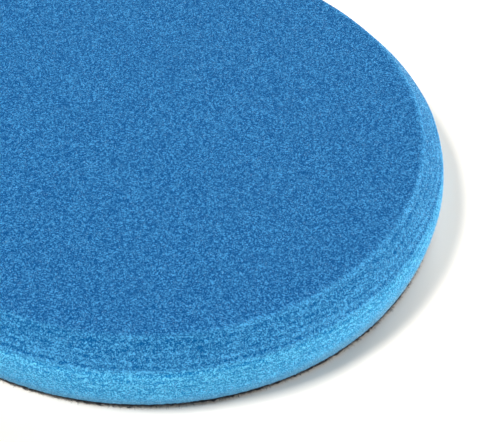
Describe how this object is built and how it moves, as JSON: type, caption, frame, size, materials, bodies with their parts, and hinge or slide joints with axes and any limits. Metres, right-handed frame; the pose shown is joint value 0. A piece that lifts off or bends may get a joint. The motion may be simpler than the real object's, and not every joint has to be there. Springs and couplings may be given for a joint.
{
  "type": "polishing pad",
  "caption": "Round foam polishing pad with a conical shoulder, a bulging wall and a loop-pile back that grips a hook-faced backing plate.",
  "frame": {"origin": "centre of the loop pile's lowest plane, which is where the pad rests and where a backing plate grips it", "axes": "+Z is the disc's axis and points out of the working face; X and Y are any two directions across the round pad"},
  "size_m": [0.15, 0.15, 0.02],
  "materials": {
    "foam": "matte open-cell polyurethane foam, blue",
    "adhesive": "milky hot-melt adhesive film",
    "cloth": "matte black warp-knit polyester",
    "pile": "black brushed nylon loops with a soft sheen"
  },
  "bodies": {
    "root": {"foam_disc": "foam", "bonding_film": "adhesive", "backing_cloth": "cloth", "loop_pile": "pile"}
  },
  "joints": []
}
